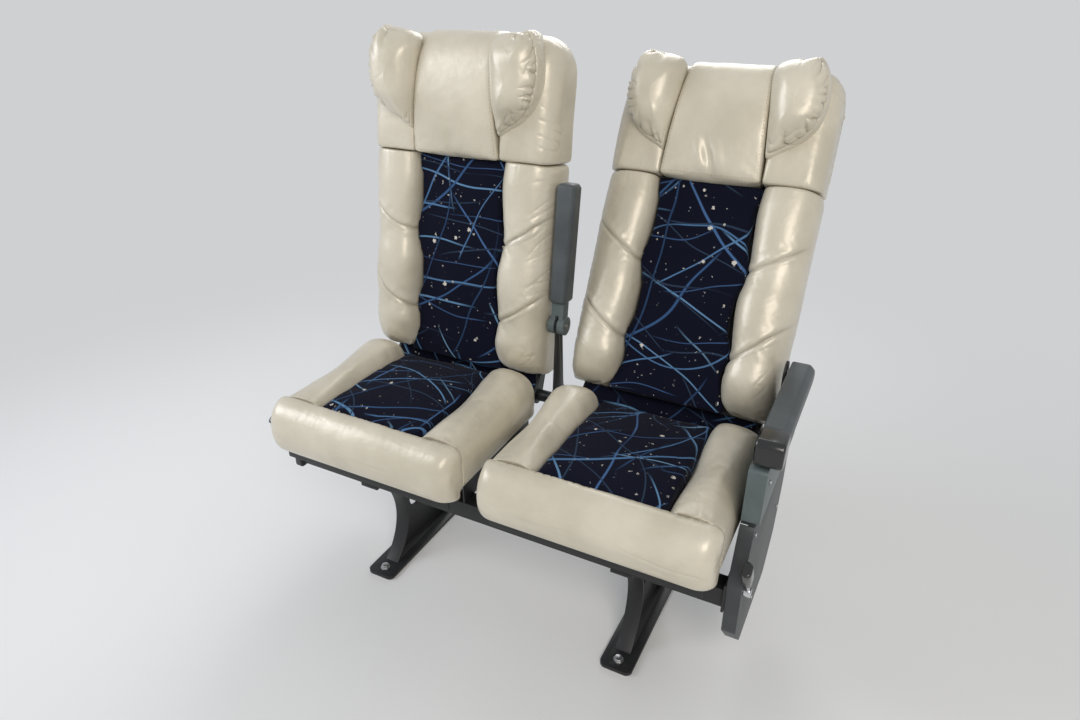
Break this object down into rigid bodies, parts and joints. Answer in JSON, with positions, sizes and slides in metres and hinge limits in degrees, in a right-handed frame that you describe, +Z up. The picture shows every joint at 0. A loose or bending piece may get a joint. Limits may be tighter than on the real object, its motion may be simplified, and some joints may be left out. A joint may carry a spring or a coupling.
{
  "type": "twin coach passenger seat",
  "caption": "Reclining coach seats joined in a pair on floor legs, with bolstered backs, winged headrests and folding armrests.",
  "frame": {"origin": "on the floor, at the centre of the floor bolt pattern", "axes": "+X towards the aisle, -Y the way the seats face, +Z up"},
  "size_m": [1.074, 0.814, 1.1751],
  "materials": {
    "cream_vinyl": "soft pearl sheen",
    "patterned_cloth": "woven plush",
    "slate_plastic": "satin moulded",
    "blue_grey_plastic": "satin moulded",
    "black_plastic": "gloss moulded",
    "back_plastic": "fine grain moulded",
    "pocket_cloth": "close weave",
    "frame_paint": "satin powder coat",
    "bare_steel": "zinc plated",
    "bright_steel": "polished",
    "cylinder_paint": "gloss enamel"
  },
  "bodies": {
    "base": {"cross_tube_front": "frame_paint", "cross_tube_rear": "frame_paint", "centre_plate": "frame_paint", "arm_panel_aisle": "blue_grey_plastic", "side_shield_aisle": "slate_plastic", "side_cover_window": "slate_plastic", "aisle_arm_pin": "bare_steel", "centre_arm_pin": "bare_steel", "leg_window": "frame_paint", "side_plate_window": "frame_paint", "pivot_pins_window": "bare_steel", "seat_pan_window": "frame_paint", "cushion_insert_window": "patterned_cloth", "cushion_bolsters_window": "cream_vinyl", "cushion_nose_window": "cream_vinyl", "spring_cylinder_window": "cylinder_paint", "spring_clevis_window": "frame_paint", "recline_rod_window": "bright_steel", "recline_grip_window": "black_plastic", "leg_aisle": "frame_paint", "side_plate_aisle": "frame_paint", "pivot_pins_aisle": "bare_steel", "seat_pan_aisle": "frame_paint", "cushion_insert_aisle": "patterned_cloth", "cushion_bolsters_aisle": "cream_vinyl", "cushion_nose_aisle": "cream_vinyl", "spring_cylinder_aisle": "cylinder_paint", "spring_clevis_aisle": "frame_paint", "recline_rod_aisle": "bright_steel", "recline_grip_aisle": "black_plastic"},
    "back_window": {"back_shell_window": "back_plastic", "hinge_arms_window": "frame_paint", "back_insert_window": "patterned_cloth", "back_bolster_right_window": "cream_vinyl", "back_bolster_left_window": "cream_vinyl", "headrest_window": "cream_vinyl", "headrest_wing_right_window": "cream_vinyl", "headrest_wing_left_window": "cream_vinyl", "back_pocket_window": "pocket_cloth"},
    "rod_window": {"spring_rod_window": "bright_steel"},
    "back_aisle": {"back_shell_aisle": "back_plastic", "hinge_arms_aisle": "frame_paint", "back_insert_aisle": "patterned_cloth", "back_bolster_right_aisle": "cream_vinyl", "back_bolster_left_aisle": "cream_vinyl", "headrest_aisle": "cream_vinyl", "headrest_wing_right_aisle": "cream_vinyl", "headrest_wing_left_aisle": "cream_vinyl", "back_pocket_aisle": "pocket_cloth"},
    "rod_aisle": {"spring_rod_aisle": "bright_steel"},
    "centre_arm": {"centre_arm_neck": "slate_plastic", "centre_arm_pad": "slate_plastic"},
    "aisle_arm": {"aisle_arm_pad": "slate_plastic", "aisle_arm_cap": "black_plastic"}
  },
  "joints": [
    {"name": "recline_window", "type": "hinge", "parent": "base", "child": "back_window", "pos_m": [-0.257, 0.175, 0.385], "axis": [-1, 0, 0], "range_deg": [0, 30]},
    {"name": "rod_window_slide", "type": "slide", "parent": "base", "child": "rod_window", "axis": [0, -1, 0], "range_m": [0, 0.03259]},
    {"name": "recline_aisle", "type": "hinge", "parent": "base", "child": "back_aisle", "pos_m": [0.257, 0.175, 0.385], "axis": [-1, 0, 0], "range_deg": [-18, 12]},
    {"name": "rod_aisle_slide", "type": "slide", "parent": "base", "child": "rod_aisle", "axis": [0, -1, 0], "range_m": [-0.01976, 0.01334]},
    {"name": "centre_arm_fold", "type": "hinge", "parent": "base", "child": "centre_arm", "pos_m": [0, 0.172, 0.58], "axis": [1, 0, 0], "range_deg": [0, 98]},
    {"name": "aisle_arm_fold", "type": "hinge", "parent": "base", "child": "aisle_arm", "pos_m": [0.5245, 0.172, 0.58], "axis": [-1, 0, 0], "range_deg": [0, 98]}
  ],
  "couplings": [
    {"joint": "rod_window_slide", "follows": "recline_window", "m_per_rad": 0.06129},
    {"joint": "rod_aisle_slide", "follows": "recline_aisle", "m_per_rad": 0.06129}
  ]
}
